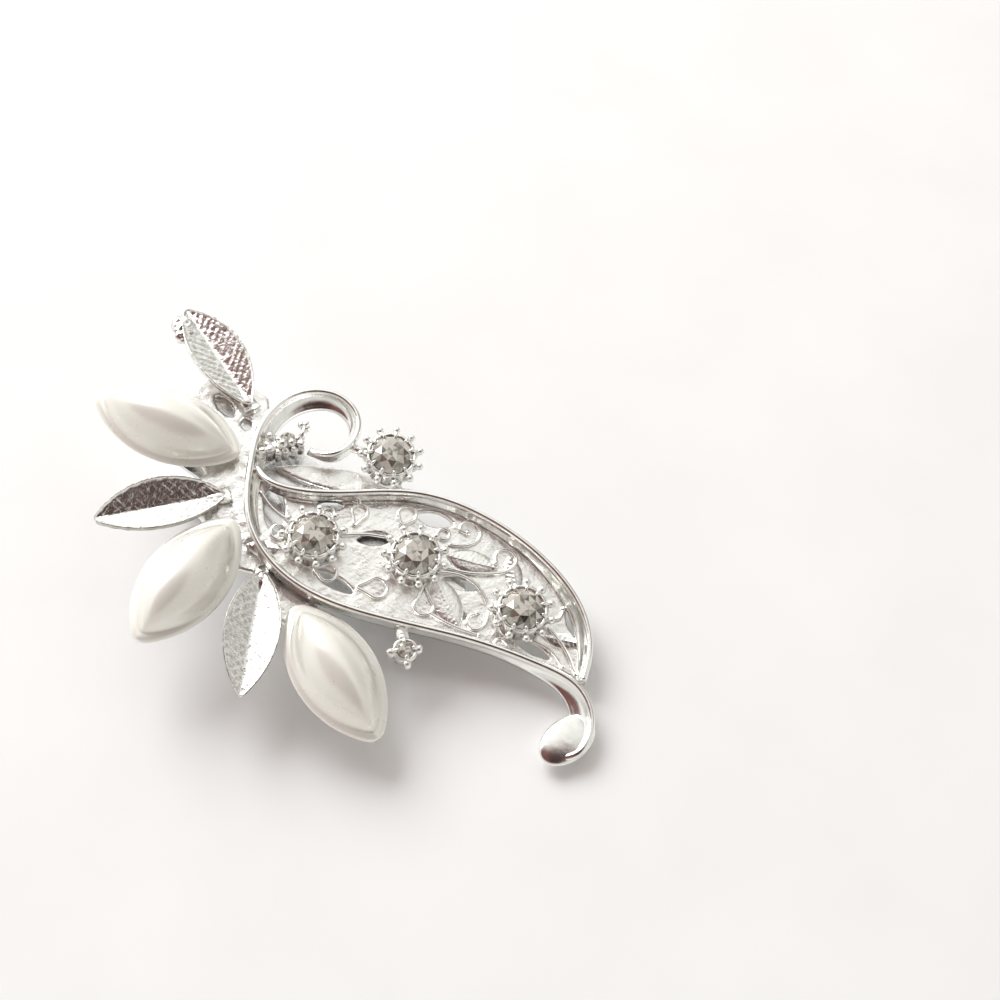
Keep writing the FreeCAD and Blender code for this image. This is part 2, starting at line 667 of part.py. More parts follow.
def build_nodes():
    nodes = {}
    nodes["swirl_band"] = swirl_band()
    nodes["upper_band"] = band(UPPER_RIM, PLATE_TOP, RIM_HEIGHT)
    nodes["openwork_plate"] = openwork_plate()
    nodes["scroll_rings"] = scroll_rings()
    nodes["scroll_stems"] = scroll_stems()
    nodes["filler_leaf"] = filler_leaf()
    nodes["root_web"] = root_web(nodes["filler_leaf"])
    for name, (x, y, angle) in PEARLS.items():
        nodes["pearl_tray_" + name] = put(tray(), x, y, angle)
        nodes["pearl_" + name] = put(pearl(), x, y, angle)
    for name, (x, y, angle) in LEAVES.items():
        nodes["leaf_" + name] = put(leaf(), x, y, angle)
    stone = faceted_stone(STONE_DIAMETER, STONE_CROWN, STONE_GIRDLE, STONE_PAVILION)
    for name, (x, y) in STONES.items():
        nodes["setting_" + name] = put(stone_setting(), x, y, 0, PLATE_TOP)
        nodes["rhinestone_" + name] = put(stone, x, y, 0, PLATE_TOP + CUP_FLOOR + STONE_PAVILION)
    nodes["setting_outer"] = outer_setting()
    nodes["rhinestone_outer"] = put(
        stone, *OUTER_STONE, 0, PLATE_TOP + CUP_FLOOR + STONE_PAVILION)
    small_stone = faceted_stone(BUD_STONE, BUD_CROWN, BUD_GIRDLE, BUD_PAVILION)
    for name, (x, y, neck_x, neck_y) in BUDS.items():
        nodes["bud_" + name] = bud(x, y, neck_x, neck_y)
        nodes["bud_stone_" + name] = put(
            small_stone, x, y, 0, PLATE_TOP + BUD_FLOOR + BUD_PAVILION)
    clip = {
        "brazing_pad": brazing_pad(),
        "upper_blade": upper_blade(),
        "lower_jaw": lower_jaw(),
        "hinge_pin": hinge_pin(),
        "torsion_spring": torsion_spring(),
    }
    for name, shape in clip.items():
        shape.translate(V(0, CLIP_Y, 0))
        nodes[name] = shape
    return nodes


def bounds_of(shapes):
    box = FreeCAD.BoundBox()
    for shape in shapes:
        box.add(shape.optimalBoundingBox(True, False))
    return box


def place_on_table(nodes):
    """Pitch the part nose down and put the origin under its middle, on the table."""
    for shape in nodes.values():
        shape.rotate(V(0, 0, 0), V(0, 1, 0), PITCH)
    box = bounds_of(nodes.values())
    shift = V(-(box.XMin + box.XMax) / 2, -(box.YMin + box.YMax) / 2, -box.ZMin)
    for shape in nodes.values():
        shape.translate(shift)
    turn = FreeCAD.Rotation(V(0, 1, 0), PITCH)
    return turn.multVec(V(0, 0, PIN_Z)) + shift


def main():
    os.makedirs("parts", exist_ok=True)
    nodes = build_nodes()
    pin_axis = place_on_table(nodes)
    for name, shape in nodes.items():
        shape.exportStep("parts/" + name + ".step")
        print(name, "solids", len(shape.Solids), "valid", shape.isValid(),
              "volume", round(shape.Volume, 2))
    print("pin axis passes through", [round(value, 4) for value in pin_axis])


main()
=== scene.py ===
import json
import math
import random

import bmesh
import bpy
import numpy as np
from mathutils import Matrix, Vector, noise


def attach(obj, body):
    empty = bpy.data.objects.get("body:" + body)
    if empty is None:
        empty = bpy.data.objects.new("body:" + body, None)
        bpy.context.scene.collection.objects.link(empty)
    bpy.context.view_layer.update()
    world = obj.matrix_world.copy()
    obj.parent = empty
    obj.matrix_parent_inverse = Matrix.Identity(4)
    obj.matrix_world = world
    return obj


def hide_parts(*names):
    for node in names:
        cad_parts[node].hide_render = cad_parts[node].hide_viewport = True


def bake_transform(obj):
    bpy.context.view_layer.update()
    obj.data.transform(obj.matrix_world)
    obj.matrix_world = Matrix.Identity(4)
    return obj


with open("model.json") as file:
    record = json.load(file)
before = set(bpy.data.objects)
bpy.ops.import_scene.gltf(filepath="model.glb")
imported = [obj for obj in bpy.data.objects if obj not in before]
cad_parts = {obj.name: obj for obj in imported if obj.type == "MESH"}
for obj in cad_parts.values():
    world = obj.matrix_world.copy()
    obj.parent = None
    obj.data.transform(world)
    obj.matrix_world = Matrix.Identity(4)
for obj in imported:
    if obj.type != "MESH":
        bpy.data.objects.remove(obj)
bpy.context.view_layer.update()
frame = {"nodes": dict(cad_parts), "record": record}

# Looks of a silver hair clip.  Shapes are drawn in millimetres in the casting's own flat
# frame: X from the hinge to the nose, Y along the hinge pin, Z = 0 at the casting's underside.
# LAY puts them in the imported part's frame, in metres.

CLIP_Y = 0.5                    # clip's middle line in the casting's frame
PIN_Z = -3.4                    # height of the hinge pin's axis in the casting's frame
PLATE_TOP = 0.6                 # top of the openwork plate
BAND_TOP = 2.1                  # top of the raised bands

SWIRL = [                       # x, y, reach to the left, reach to the right, height
    (4.6, 4.8, 0.2, 0.2, 0.4), (6.7, 5.5, 0.45, 0.3, 1.0), (7.4, 7.6, 0.7, 0.3, 1.0),
    (6.4, 10.0, 0.9, 0.3, 1.0), (3.9, 10.9, 1.2, 0.3, 1.0), (1.2, 9.6, 1.5, 0.3, 1.0),
    (-0.2, 6.9, 1.5, 0.3, 1.0), (-0.1, 3.6, 1.4, 0.3, 1.0), (1.4, 0.2, 1.2, 0.3, 1.0),
    (5.0, -4.7, 0.9, 0.3, 1.0), (10.6, -6.9, 0.7, 0.3, 1.0), (18.9, -5.3, 0.6, 0.3, 1.0),
    (27.6, -1.7, 0.5, 0.4, 1.0), (34.0, 0.1, 0.4, 0.8, 1.0), (37.6, 0.3, 0.4, 1.4, 1.0),
    (40.0, -1.3, 0.4, 1.8, 1.0), (40.9, -3.4, 0.4, 2.0, 0.95), (40.7, -4.9, 0.3, 1.4, 0.8),
    (39.8, -5.8, 0.25, 0.6, 0.45),
]
UPPER_RIM = [
    (1.9, 0.4, 0.2, 0.2, 0.5), (3.5, -0.2, 0.2, 0.35, 0.8), (6.4, 0.5, 0.3, 0.4, 1.0),
    (10.8, 3.7, 0.3, 0.45, 1.0), (15.2, 7.1, 0.3, 0.5, 1.0), (21.8, 9.1, 0.3, 0.55, 1.0),
    (28.8, 8.8, 0.3, 0.7, 1.0), (34.4, 6.4, 0.3, 1.0, 1.0), (36.8, 3.4, 0.3, 0.9, 1.0),
    (37.6, 1.2, 0.3, 0.6, 0.9),
]
BEAD_RADIUS = 0.32              # round bead along a band's ridge
BAND_FOOT = 0.35                # height of the upright foot of a band's sides
BAND_SAG = 0.20                 # how far a band's sloping side hollows
SPOON = (39.4, -4.1)            # rounded end of the tail
SPOON_SIZE = (5.9, 3.8, 2.1)    # length, width, height before it is flattened on top
SPOON_ANGLE = -106.0
SPOON_LIFT = 0.45               # height of its widest line over the plate
SPOON_OVER = 0.5                # share of the height left above that line
SPOON_UNDER = 1.28              # share of the height below it

PEARL_LENGTH = 14.2
PEARL_WIDTH = 7.6
PEARL_TIP = 1.4
PEARL_HEIGHT = 3.5
PEARL_START = 0.33              # from a petal's root to its pearl
PEARL_EDGE = 0.40               # height of the brim at the pearl's edge
PEARL_BRIM = 0.75               # height of the brim round the dome
DOME_INSET = 0.9                # from the pearl's tip to the dome's tip
DOME_WIDTH = 6.3
DOME_TIP = 0.5
DOME_POWER = 0.8                # under 1 makes the dome fuller
TRAY_HEIGHT = 0.6
PEARLS = {                      # root x, root y, direction in degrees
    "upper": (0.2, 0.6, 194.0),
    "middle": (3.6, -4.8, -88.0),
    "lower": (12.6, -8.4, -23.0),
}

LEAF_LENGTH = 11.8
LEAF_WIDTH = 4.9
LEAF_TIP = 0.45
LEAF_THICKNESS = 0.6
LEAF_FOLD = math.radians(24.0)
LEAF_VEINS = 15                 # veins on each side of the midrib
VEIN_DEPTH = 0.034
MIDRIB = (0.05, 0.09)           # height, half width
LEAF_RIM = (0.12, 0.13)         # height, width
LEAF_STALK = [(-0.5, 0.35, 0.9), (0.6, 0.4, 0.75), (2.0, 0.5, 0.4)]     # x, z, radius
STALK_FLATNESS = 0.42
LUMP = [(10.4, 1.2, 1.1, 0.5), (9.4, 1.6, 0.9, 0.55)]                   # x, y, radius, squash
LUMP_Z = 0.7
LEAVES = {
    "upper": (-2.7, 5.5, 158.5),
    "middle": (1.3, -3.4, -129.5),
    "lower": (8.6, -7.4, -62.0),
}

STONE_RADIUS = 2.0
STONE_CROWN = 0.8
STONE_PAVILION = 1.3
STONE_TURN = 11.0               # degrees between a stone's first facet and +X
CUP_FLOOR = 0.35
CUP_WALL = 0.3
FLUTE_DEPTH = 0.05
PRONGS = 11
PRONG_REACH = 2.8
PRONG_BALL = 0.34
CLAW_LENGTH = 0.3               # from the stone's edge to a claw's end
STONES = {
    "left": (10.4, -2.4),
    "middle": (18.8, 1.7),
    "right": (29.5, 3.3),
    "outer": (11.2, 8.6),
}
OUTER_NECKS = [(7.2, 7.4), (14.0, 6.3)]     # where the outer setting's necks meet the bands
NECK_LIFT = 0.5
BUD_RADIUS = 0.8
BUD_CROWN = 0.4
BUD_PAVILION = 0.7
BUD_FLOOR = 0.3
BUD_REACH = 1.25
BUD_BALL = 0.42
BUD_PRONGS = 4
BUD_CLAW = 0.25
BUD_TURN = 20.0
BUDS = {"lower": (23.2, -6.1), "upper": (2.6, 4.2)}
BUD_NECK = (21.6, -4.3)         # where the lower bud's neck meets the band
BUD_NECK_LIFT = 0.4

RINGS = [                       # x, y, radius, direction of the pointed end, stretch
    (12.0, 2.7, 0.75, -73.0, 1.5), (15.6, 5.2, 0.85, -80.0, 1.2), (13.2, -4.0, 0.85, 200.0, 1.2),
    (17.6, -2.5, 1.0, 215.0, 1.4), (22.0, -1.3, 0.9, 123.0, 1.6), (7.4, -3.5, 0.7, 0.0, 1.0),
    (19.4, 5.7, 0.55, 0.0, 1.0), (9.8, 0.9, 0.5, 0.0, 1.0), (29.6, -0.1, 0.5, 20.0, 1.3),
]
STEMS = [                       # points along each scroll wire
    [(20.3, 5.1), (22.0, 6.4), (22.2, 7.7), (21.1, 8.4), (20.2, 7.9), (20.4, 7.0), (21.1, 7.2)],
    [(21.3, 3.0), (23.1, 3.7), (24.9, 4.9), (26.3, 6.6), (26.2, 7.8), (25.0, 8.1), (24.4, 7.2),
     (24.9, 6.3)],
    [(21.1, 2.2), (23.2, 3.3), (24.8, 3.3), (26.1, 2.7), (27.2, 1.5), (27.4, 0.3), (26.7, -0.5),
     (25.9, 0.1), (26.3, 1.1)],
    [(12.0, -0.3), (13.6, 1.1), (15.7, 2.3)],
    [(3.6, -1.2), (5.4, -1.9), (7.9, -2.0)],
    [(31.6, 1.9), (33.6, 2.2), (35.4, 1.5)],
    [(32.3, 3.9), (34.4, 3.2), (36.7, 1.6)],
    [(31.9, 4.6), (32.6, 5.4), (32.4, 6.3)],
    [(22.6, -1.6), (25.2, -1.3), (27.6, -0.6)],
    [(8.6, 2.2), (10.0, 3.0), (11.4, 3.4)],
]
PETALS = [                      # x, y of the root, length, width, direction
    (20.8, 4.1, 4.9, 2.7, 22.0), (21.2, 1.7, 5.4, 2.9, -32.0), (28.0, 5.2, 3.6, 1.9, 135.0),
    (32.3, 2.9, 3.8, 1.7, 25.0), (8.8, -4.6, 3.4, 1.8, -150.0),
]
PETAL_CROWN = 0.34              # height of a petal's middle
PETAL_LINES = (0.022, 0.45)     # depth and spacing of its slanting lines
PETAL_RIB = (0.05, 0.1)         # height and half width of its midrib
WIRE = 0.17                     # radius of the scroll wire
CLUSTER = [                     # x, y, height, radius of the small balls at the curl's root
    (1.5, 1.8, 1.7, 0.42), (2.0, 2.3, 1.9, 0.45), (2.2, 3.0, 1.5, 0.4), (2.7, 2.6, 1.6, 0.36),
    (2.6, 3.4, 2.0, 0.46), (3.1, 3.2, 1.5, 0.4), (3.1, 4.1, 1.8, 0.42), (3.6, 3.8, 1.5, 0.38),
    (3.8, 4.6, 1.7, 0.44), (1.4, 2.7, 1.4, 0.4), (1.9, 3.8, 1.4, 0.42), (3.2, 4.9, 1.4, 0.4),
    (1.0, 3.6, 1.5, 0.36), (2.4, 4.5, 1.6, 0.4),
]
STALK = [(3.5, 4.9, 1.5), (3.3, 5.6, 1.7), (3.0, 6.3, 1.9)]
STALK_BALLS = [(3.0, 6.4, 2.0), (2.7, 6.1, 1.9), (3.3, 6.2, 1.8)]
KNOT_BASE = [(0.6, 3.4, 0.7), (2.2, 3.4, 0.9), (3.8, 4.2, 0.6)]         # x, y, radius
KNOT_BASE_Z = 0.9

SPRING_TURNS = 4
SPRING_PITCH = 0.62
SPRING_RADIUS = 1.1
SPRING_WIRE = 0.28              # radius of the spring's wire
SPRING_LEG_X = -4.6             # end of both of its legs
BLADE_UNDERSIDE = -1.4
JAW_LEG_Z = -7.40

CAMERA_TARGET = (21.5, 12.34)   # point of the casting's plane at the picture's centre
CAMERA_DISTANCE = 0.150
CAMERA_AZIMUTH = math.radians(33.0)
CAMERA_ELEVATION = math.radians(57.0)
CAMERA_LENS = 57.1

ROOM = (0.67, 0.67, 0.64, 1)    # colour of the room that the metal mirrors
ROOM_PATCHES = [                # direction, inner and outer angle in degrees, colour
    ((-0.6, 0.3, 0.7), 20, 80, (1.0, 1.0, 0.97, 1)),
    ((0.3, -0.33, 0.9), 26, 42, (0.42, 0.30, 0.28, 1)),
    ((0.38, -0.25, 0.9), 16, 34, (0.046, 0.026, 0.024, 1)),
    ((-0.20, -0.38, 0.90), 19, 32, (0.16, 0.07, 0.062, 1)),
    ((0.35, 0.85, 0.38), 12, 30, (0.32, 0.30, 0.275, 1)),
]
ROOM_STRENGTH = 1.08
KEY_PLACE = (-0.38, 0.15, 0.40)
KEY_SIZE = 0.42
KEY_POWER = 2.2

record = frame["record"]
pin_place = Vector(record["behaviour"]["joints"][0]["pos_m"])
nose_way = next(m["axis"] for m in record["mounts"] if m["name"] == "hair_grip")
pitch = math.atan2(-nose_way[2], nose_way[0])
LAY = (Matrix.Translation(pin_place) @ Matrix.Rotation(pitch, 4, "Y")
       @ Matrix.Scale(0.001, 4) @ Matrix.Translation((0, -CLIP_Y, -PIN_Z)))


# ---- mesh helpers ------------------------------------------------------------------

def spot(x, y, angle=0.0, z=0.0):
    """Placement of a shape drawn at the origin of the casting's frame."""
    return Matrix.Translation((x, y, z)) @ Matrix.Rotation(math.radians(angle), 4, "Z")


def new_object(name, bm, material, smooth=True):
    """Turns a bmesh in the casting's frame into an object in the part's frame."""
    bmesh.ops.recalc_face_normals(bm, faces=bm.faces)
    mesh = bpy.data.meshes.new(name)
    bm.to_mesh(mesh)
    bm.free()
    mesh.transform(LAY)
    for face in mesh.polygons:
        face.use_smooth = smooth
    mesh.materials.append(material)
    piece = bpy.data.objects.new(name, mesh)
    bpy.context.collection.objects.link(piece)
    return piece


def make_piece(name, bm, material, body, nodes, smooth=True):
    """Finished piece that rides on a body and stands for CAD nodes."""
    piece = new_object(name, bm, material, smooth)
    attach(piece, body)
    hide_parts(*nodes)
    return piece


def add_rings(bm, rings, closed=False):
    """Skins a row of rings of equal length; an open row gets a cap at both ends."""
    rows = [[bm.verts.new(p) for p in ring] for ring in rings]
    pairs = list(zip(rows, rows[1:]))
    if closed:
        pairs.append((rows[-1], rows[0]))
    count = len(rows[0])
    for a, b in pairs:
        for i in range(count):
            j = (i + 1) % count
            bm.faces.new((a[i], a[j], b[j], b[i]))
    if not closed:
        bm.faces.new(list(reversed(rows[0])))
        bm.faces.new(rows[-1])


def add_tube(bm, points, radii, sides=10, flat=1.0):
    """Round wire through points; flat under 1 squashes it along Z."""
    rings = []
    for i, centre in enumerate(points):
        before = points[max(i - 1, 0)]
        after = points[min(i + 1, len(points) - 1)]
        along = (after - before).normalized()
        across = along.cross(Vector((0, 0, 1)))
        if across.length < 1e-4:
            across = Vector((1, 0, 0))
        across.normalize()
        lift = across.cross(along)
        ring = []
        for k in range(sides):
            turn = 2 * math.pi * k / sides
            ring.append(centre + radii[i] * (math.cos(turn) * across + flat * math.sin(turn) * lift))
        rings.append(ring)
    add_rings(bm, rings)


def add_ball(bm, centre, radius, squash=1.0, rows=10):
    """Closed ball of quads with small caps."""
    rings = []
    for i in range(1, rows):
        tilt = math.pi * i / rows
        ring = []
        for k in range(2 * rows):
            turn = math.pi * k / rows
            ring.append(Vector((
                centre[0] + radius * math.sin(tilt) * math.cos(turn),
                centre[1] + radius * math.sin(tilt) * math.sin(turn),
                centre[2] + radius * squash * math.cos(tilt))))
        rings.append(ring)
    add_rings(bm, rings)


def spline(points, per_span):
    """Smooth curve through rows of numbers: a natural cubic spline over chord length."""
    rows = np.array(points, float)
    chord = np.linalg.norm(np.diff(rows[:, :2], axis=0), axis=1)
    knots = np.concatenate([[0], np.cumsum(chord)])
    n = len(rows)
    system = np.eye(n)
    right = np.zeros_like(rows)
    for i in range(1, n - 1):
        a, b = chord[i - 1], chord[i]
        system[i, i - 1:i + 2] = (a, 2 * (a + b), b)
        right[i] = 6 * ((rows[i + 1] - rows[i]) / b - (rows[i] - rows[i - 1]) / a)
    bend = np.linalg.solve(system, right)
    out = []
    for i in range(n - 1):
        h = chord[i]
        for s in np.arange(per_span) / per_span:
            p, q = (1 - s) * h, s * h
            out.append((bend[i] * p ** 3 + bend[i + 1] * q ** 3) / (6 * h)
                       + (rows[i] / h - bend[i] * h / 6) * p
                       + (rows[i + 1] / h - bend[i + 1] * h / 6) * q)
    out.append(rows[-1])
    return np.array(out)


def roughen(bm, size, depth, seed):
    """Pushes points along their normals by smooth noise."""
    bm.normal_update()
    shift = Vector((seed * 7.3, seed * 3.1, seed))
    for v in bm.verts:
        v.co += v.normal * depth * noise.noise(v.co / size + shift)


def remeshed(node, voxel, smoothing):
    """Copy of a CAD node's mesh in the casting's frame, with even faces and soft edges."""
    source = frame["nodes"][node]
    copy = bpy.data.objects.new("copy", source.data.copy())
    copy.data.transform(source.matrix_world)
    copy.data.transform(LAY.inverted())
    bpy.context.collection.objects.link(copy)
    remesh = copy.modifiers.new("even", "REMESH")
    remesh.mode = "VOXEL"
    remesh.voxel_size = voxel
    smooth = copy.modifiers.new("soft", "SMOOTH")
    smooth.iterations = smoothing
    smooth.factor = 0.5
    graph = bpy.context.evaluated_depsgraph_get()
    bm = bmesh.new()
    bm.from_mesh(copy.evaluated_get(graph).to_mesh())
    bpy.data.objects.remove(copy)
    return bm


# ---- materials ---------------------------------------------------------------------

def new_material(name):
    """Empty node material with its tree and its shader."""
    material = bpy.data.materials.new(name)
    material.use_nodes = True
    tree = material.node_tree
    return material, tree, tree.nodes["Principled BSDF"]


def add_noise(tree, scale, detail=3.0, stretch=(1, 1, 1)):
    """Noise over the object's own coordinates; scale is in waves per metre."""
    place = tree.nodes.new("ShaderNodeTexCoord")
    mapping = tree.nodes.new("ShaderNodeMapping")
    mapping.inputs["Scale"].default_value = stretch
    texture = tree.nodes.new("ShaderNodeTexNoise")
    texture.inputs["Scale"].default_value = scale
    texture.inputs["Detail"].default_value = detail
    tree.links.new(place.outputs["Object"], mapping.inputs["Vector"])
    tree.links.new(mapping.outputs["Vector"], texture.inputs["Vector"])
    return texture.outputs["Fac"]


def add_ramp(tree, source, low, high, start=0.35, end=0.65):
    """Colour from low to high while the source goes from start to end."""
    ramp = tree.nodes.new("ShaderNodeValToRGB")
    ramp.color_ramp.elements[0].position = start
    ramp.color_ramp.elements[0].color = low
    ramp.color_ramp.elements[1].position = end
    ramp.color_ramp.elements[1].color = high
    tree.links.new(source, ramp.inputs["Fac"])
    return ramp.outputs["Color"]


def add_range(tree, source, low, high):
    """Number from low to high while the source goes from 0 to 1."""
    span = tree.nodes.new("ShaderNodeMapRange")
    span.inputs["To Min"].default_value = low
    span.inputs["To Max"].default_value = high
    tree.links.new(source, span.inputs["Value"])
    return span.outputs["Result"]


def add_bump(tree, shader, height, strength, distance):
    """Fine relief of a shader's surface, its distance in metres."""
    bump = tree.nodes.new("ShaderNodeBump")
    bump.inputs["Strength"].default_value = strength
    bump.inputs["Distance"].default_value = distance
    tree.links.new(height, bump.inputs["Height"])
    tree.links.new(bump.outputs["Normal"], shader.inputs["Normal"])


def grey(value, warm=0.0):
    """Grey colour, made a little yellower by warm."""
    return (value + warm, value + 0.7 * warm, value - warm, 1.0)


def silver(name, grain, grain_depth, rough_low, rough_high):
    """Bright silver plate over a casting whose skin has a given grain, with painted shade in its
    creases.
    """
    material, tree, shader = new_material(name)
    shader.inputs["Metallic"].default_value = 1.0
    shade = add_noise(tree, 900, 4.0)
    colour = add_ramp(tree, shade, grey(0.88, 0.018), grey(0.975, 0.014))
    shape = tree.nodes.new("ShaderNodeNewGeometry")
    # Painted shade: concave creases, found by their pointiness, are darkened to grey as the shade
    # that falls in them.
    crease_shade = add_ramp(tree, shape.outputs["Pointiness"], grey(0.38, 0.03), grey(1.0), 0.40, 0.48)
    mix = tree.nodes.new("ShaderNodeMix")
    mix.data_type = "RGBA"
    mix.blend_type = "MULTIPLY"
    mix.inputs["Factor"].default_value = 0.85
    tree.links.new(colour, mix.inputs["A"])
    tree.links.new(crease_shade, mix.inputs["B"])
    tree.links.new(mix.outputs["Result"], shader.inputs["Base Color"])
    tree.links.new(add_range(tree, shade, rough_low, rough_high), shader.inputs["Roughness"])
    add_bump(tree, shader, add_noise(tree, grain, 3.0), 0.6, grain_depth)
    return material


def steel(name, along_x):
    """Nickel-plated strip with fine drawing lines."""
    material, tree, shader = new_material(name)
    shader.inputs["Metallic"].default_value = 1.0
    stretch = (0.04, 1, 1) if along_x else (1, 1, 1)
    lines = add_noise(tree, 9000, 2.0, stretch)
    shade = add_noise(tree, 500, 3.0)
    tree.links.new(add_ramp(tree, shade, grey(0.76), grey(0.88)), shader.inputs["Base Color"])
    tree.links.new(add_range(tree, lines, 0.18, 0.34), shader.inputs["Roughness"])
    add_bump(tree, shader, lines, 0.25, 0.00002)
    return material


def pearl_material():
    """Ivory pearl lacquer: cloudy body colour under a clear gloss."""
    material, tree, shader = new_material("pearl_lacquer")
    cloud = add_noise(tree, 260, 3.0)
    colour = add_ramp(tree, cloud, (0.94, 0.91, 0.83, 1), (0.985, 0.97, 0.91, 1), 0.2, 0.8)
    tree.links.new(colour, shader.inputs["Base Color"])
    tree.links.new(add_range(tree, cloud, 0.24, 0.32), shader.inputs["Roughness"])
    shader.inputs["Metallic"].default_value = 0.25
    shader.inputs["Coat Weight"].default_value = 0.8
    shader.inputs["Coat Roughness"].default_value = 0.07
    shader.inputs["Subsurface Weight"].default_value = 0.15
    shader.inputs["Subsurface Radius"].default_value = (0.001, 0.0008, 0.0006)
    shader.inputs["Subsurface Scale"].default_value = 1.0
    add_bump(tree, shader, add_noise(tree, 500, 1.0), 0.10, 0.00002)
    return material


def stone_material():
    """Smoky glass with foil behind it: a real smoky tint, and on each facet a painted brightness that
    stands in for the light the foil throws back.
    """
    material, tree, shader = new_material("smoky_rhinestone")
    # Painted reflection: each facet's stored random brightness stands in for the light a foiled facet
    # throws back; the smoke noise is the glass's own tint.
    facet = tree.nodes.new("ShaderNodeAttribute")
    facet.attribute_name = "facet_glint"
    smoke = add_noise(tree, 2200, 2.0)
    blend = tree.nodes.new("ShaderNodeMath")
    blend.operation = "MULTIPLY_ADD"
    blend.inputs[1].default_value = 0.8
    tree.links.new(smoke, blend.inputs[0])
    tree.links.new(facet.outputs["Fac"], blend.inputs[2])
    colour = add_ramp(tree, blend.outputs["Value"], (0.09, 0.07, 0.058, 1), (0.58, 0.545, 0.49, 1),
                      0.34, 1.30)
    tree.links.new(colour, shader.inputs["Base Color"])
    tree.links.new(add_range(tree, smoke, 0.08, 0.24), shader.inputs["Roughness"])
    shader.inputs["Metallic"].default_value = 0.8
    shader.inputs["Coat Weight"].default_value = 1.0
    shader.inputs["Coat IOR"].default_value = 1.58
    shader.inputs["Coat Roughness"].default_value = 0.02
    return material


def floor_material():
    """Plain pale paper."""
    material, tree, shader = new_material("floor_paper")
    shade = add_noise(tree, 60, 3.0)
    tree.links.new(add_ramp(tree, shade, grey(0.93), grey(0.96)), shader.inputs["Base Color"])
    shader.inputs["Roughness"].default_value = 0.9
    return material


POLISHED = silver("silver_polished", 1500, 0.00003, 0.14, 0.25)
CAST = silver("silver_cast", 3800, 0.00007, 0.20, 0.36)
LEAF_SILVER = silver("silver_leaf", 5200, 0.00006, 0.16, 0.30)
STEEL = steel("nickel_strip", True)
ROUND_STEEL = steel("nickel_round", False)
PEARL = pearl_material()
STONE = stone_material()


# ---- bands -------------------------------------------------------------------------

def band_profile(left, right):
    """Cross-section of a band: a bead on the ridge and a face that falls away on each side."""
    top = BAND_TOP - BEAD_RADIUS
    edge = PLATE_TOP + BAND_FOOT
    faces = []
    for reach in (left, right):
        start = Vector((max(reach, BEAD_RADIUS), edge))
        end = Vector((BEAD_RADIUS * 0.9, top - 0.12))
        sag = BAND_SAG * min(1.0, max(reach - BEAD_RADIUS, 0))
        face = [(reach, PLATE_TOP), (start.x, edge - 0.1)]
        for share in (0.06, 0.25, 0.5, 0.75, 0.95):
            place = start.lerp(end, share)
            face.append((place.x, place.y - sag * math.sin(math.pi * share)))
        faces.append(face)
    bead = []
    for k in range(9):
        turn = math.radians(-10 + 200 * k / 8)
        bead.append((BEAD_RADIUS * math.cos(turn), top + BEAD_RADIUS * math.sin(turn)))
    return faces[0] + bead + [(-x, z) for x, z in reversed(faces[1])]


def band(bm, stations):
    """Raised band along stations; each gives its place, both reaches and its height."""
    path = spline(stations, 14)
    slopes = np.gradient(path[:, :2], axis=0)
    rings = []
    for (x, y, left, right, rise), slope in zip(path, slopes):
        across = Vector((-slope[1], slope[0], 0)).normalized()
        base = Vector((x, y, PLATE_TOP))
        rings.append([base + across * t + Vector((0, 0, (z - PLATE_TOP) * rise))
                      for t, z in band_profile(left, right)])
    add_rings(bm, rings)


def tail_spoon(bm):
    """Low rounded spoon that fills the hook at the end of the tail."""
    length, width, height = SPOON_SIZE
    spoon = bmesh.new()
    add_ball(spoon, (0, 0, 0), 1.0, 1.0, 24)
    for v in spoon.verts:
        v.co = Vector((v.co.x * length / 2, v.co.y * width / 2, v.co.z * height / 2))
        v.co.z *= SPOON_OVER if v.co.z > 0 else SPOON_UNDER
    spoon.transform(spot(*SPOON, SPOON_ANGLE, PLATE_TOP + SPOON_LIFT))
    join(bm, spoon)


def join(bm, other):
    """Adds another bmesh's faces and frees it."""
    mesh = bpy.data.meshes.new("joined")
    other.to_mesh(mesh)
    other.free()
    bm.from_mesh(mesh)
    bpy.data.meshes.remove(mesh)


def make_bands():
    bm = bmesh.new()
    band(bm, SWIRL)
    tail_spoon(bm)
    make_piece("swirl", bm, POLISHED, "ornament", ["swirl_band"])
    bm = bmesh.new()
    band(bm, UPPER_RIM)
    make_piece("upper_edge", bm, POLISHED, "ornament", ["upper_band"])


# ---- openwork ----------------------------------------------------------------------

def make_cast_plates():
    """Openwork with its relief petals, then the web and the filler leaf."""
    bm = remeshed("openwork_plate", 0.13, 3)
    roughen(bm, 1.3, 0.06, 1)
    roughen(bm, 0.4, 0.02, 4)
    for x, y, length, width, angle in PETALS:
        petal = relief_petal(length, width)
        petal.transform(spot(x, y, angle, PLATE_TOP - 0.12))
        join(bm, petal)
    make_piece("openwork", bm, CAST, "ornament", ["openwork_plate"])
    for node, seed, depth in (("root_web", 2, 0.06), ("filler_leaf", 3, 0.05)):
        bm = remeshed(node, 0.15, 8)
        roughen(bm, 0.9, depth, seed)
        roughen(bm, 0.35, 0.02, seed + 4)
        make_piece(node + "_cast", bm, CAST, "ornament", [node])


def relief_petal(length, width):
    """Low petal on the plate: a midrib and fine slanting lines, from the origin along +X."""
    bm = bmesh.new()
    line_depth, line_spacing = PETAL_LINES
    rib_height, rib_half = PETAL_RIB
    rings = []
    columns = [-1 + 2 * k / 20 for k in range(21)]
    for x in along_steps(length, 48):
        half = almond_half(x, length, width, 0.12)
        ring = []
        for t in columns:
            y = t * half
            crown = PETAL_CROWN * (1 - t * t) ** 0.5
            wave = math.cos(2 * math.pi * (x - 0.5 * abs(y)) / line_spacing)
            line = line_depth * wave * (1 - t * t)
            rib = rib_height * math.exp(-(y / rib_half) ** 2)
            ring.append(Vector((x, y, crown + line + rib)))
        ring += [Vector((x, half, -0.1)), Vector((x, -half, -0.1))]
        rings.append(ring)
    add_rings(bm, rings)
    return bm


